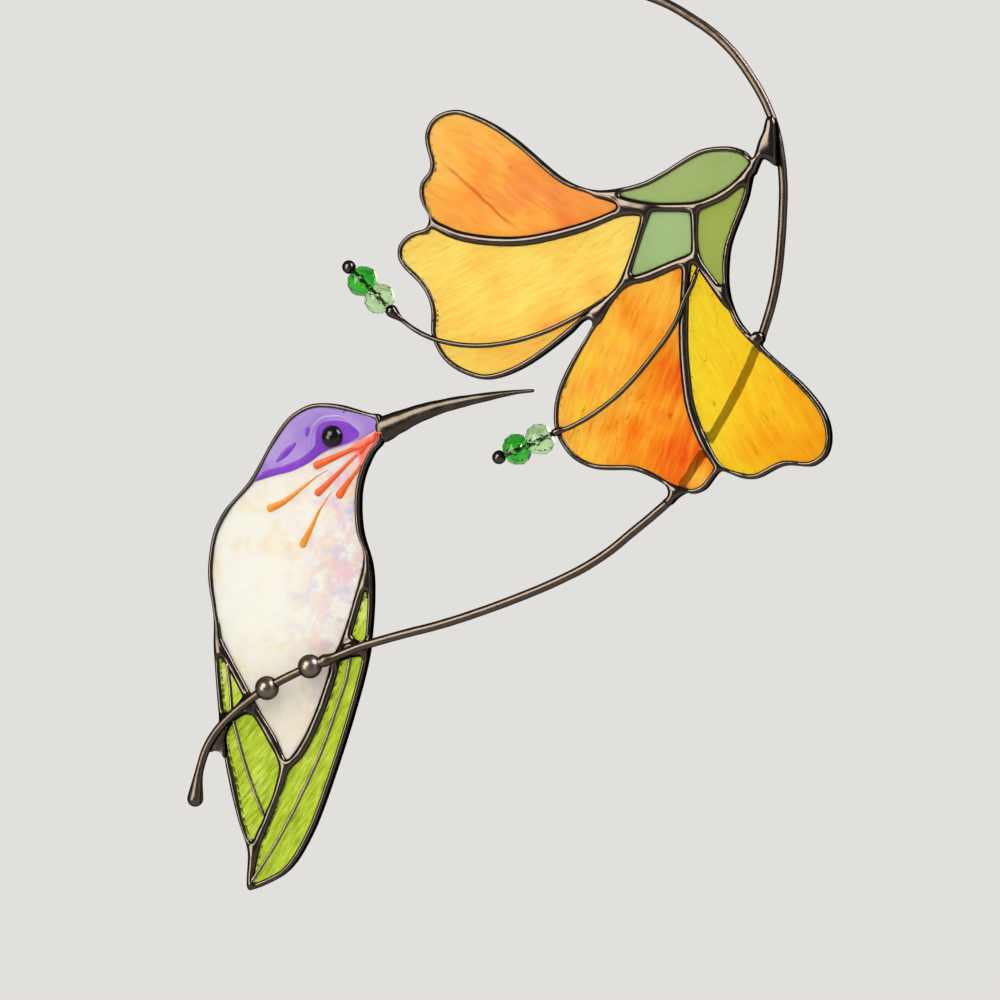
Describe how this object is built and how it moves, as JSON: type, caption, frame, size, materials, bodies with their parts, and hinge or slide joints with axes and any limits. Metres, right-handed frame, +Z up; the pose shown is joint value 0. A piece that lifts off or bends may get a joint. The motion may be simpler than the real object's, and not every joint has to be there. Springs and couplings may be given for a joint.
{
  "type": "stained glass suncatcher",
  "caption": "Hummingbird perched on a curved twig of wire beside a trumpet flower, in foiled glass and dark solder, with a ring to hang it by.",
  "frame": {"origin": "where a hook bears, at the top of the hole in the hanging ring", "axes": "+Z up, +X to the right of someone facing the front, the front faces -Y; the panels lie in planes of constant Y"},
  "size_m": [0.1673, 0.0173, 0.2383],
  "materials": {
    "glass_orange": "streaky orange sheet glass",
    "glass_yellow": "streaky yellow sheet glass",
    "glass_deep_orange": "streaky deep orange sheet glass",
    "glass_amber": "streaky amber sheet glass",
    "glass_sage": "opalescent sage green sheet glass",
    "glass_ivory": "mottled ivory opalescent glass with enamel on the head and throat",
    "glass_lime": "textured lime green glass",
    "solder": "tin and lead solder with a dark patina, polished",
    "wire": "copper wire tinned with solder, with a dark patina",
    "bead_dark": "clear emerald green faceted glass",
    "bead_pale": "clear pale green faceted glass",
    "eye": "opaque black glass, polished"
  },
  "bodies": {
    "root": {"petal_upper": "glass_orange", "petal_left": "glass_yellow", "petal_lower": "glass_deep_orange", "petal_right": "glass_amber", "calyx_top": "glass_sage", "calyx_middle": "glass_sage", "calyx_right": "glass_sage", "bird_body": "glass_ivory", "wing_left_upper": "glass_lime", "wing_left_lower": "glass_lime", "wing_right_upper": "glass_lime", "wing_right_lower": "glass_lime", "flower_solder": "solder", "bird_solder": "solder", "twig": "wire", "hanging_ring": "wire", "foot_bead_left": "solder", "foot_bead_right": "solder", "stamen_upper": "solder", "stamen_lower": "solder", "bead_upper_dark": "bead_dark", "bead_upper_pale": "bead_pale", "bead_lower_dark": "bead_dark", "bead_lower_pale": "bead_pale", "vein_left_upper": "solder", "vein_left_lower": "solder", "vein_right": "solder", "beak": "solder", "eye": "eye"}
  },
  "joints": []
}
